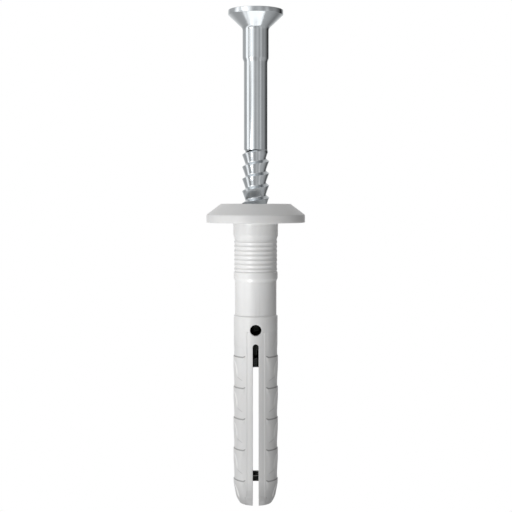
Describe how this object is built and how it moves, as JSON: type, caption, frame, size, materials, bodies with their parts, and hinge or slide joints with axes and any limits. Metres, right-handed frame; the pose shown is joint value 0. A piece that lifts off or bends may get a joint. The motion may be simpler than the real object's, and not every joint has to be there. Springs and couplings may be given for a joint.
{
  "type": "wall anchor",
  "caption": "Hammer-in wall anchor: nylon plug with mushroom collar and split barbed legs, and a zinc-plated nail screw standing in its bore.",
  "frame": {"origin": "on the anchor's axis, in the plane where the collar's underside meets the wall or fixture", "axes": "+Z along the axis out of the wall, towards the screw's head; the plug's slot opens towards -Y and +Y, and the legs lie towards -X and +X"},
  "size_m": [0.013, 0.013, 0.0651],
  "materials": {
    "nylon": "moulded light grey nylon, satin",
    "zinc_plated_steel": "bright zinc plating over turned and rolled steel"
  },
  "bodies": {
    "sleeve": {"plug_sleeve": "nylon"},
    "leg_left": {"expansion_leg_left": "nylon"},
    "leg_right": {"expansion_leg_right": "nylon"},
    "screw": {"nail_screw": "zinc_plated_steel"}
  },
  "joints": [
    {"name": "screw_drive", "type": "slide", "parent": "sleeve", "child": "screw", "axis": [0, 0, -1], "range_m": [0, 0.02527]},
    {"name": "leg_left_spread", "type": "hinge", "parent": "sleeve", "child": "leg_left", "pos_m": [-0.00286, 0, -0.01619], "axis": [0, 1, 0], "range_deg": [0, 3]},
    {"name": "leg_right_spread", "type": "hinge", "parent": "sleeve", "child": "leg_right", "pos_m": [0.00286, 0, -0.01619], "axis": [0, -1, 0], "range_deg": [0, 3]}
  ],
  "couplings": [
    {"joint": "leg_left_spread", "follows": "screw_drive", "rad_per_m": 2.072},
    {"joint": "leg_right_spread", "follows": "screw_drive", "rad_per_m": 2.072}
  ]
}
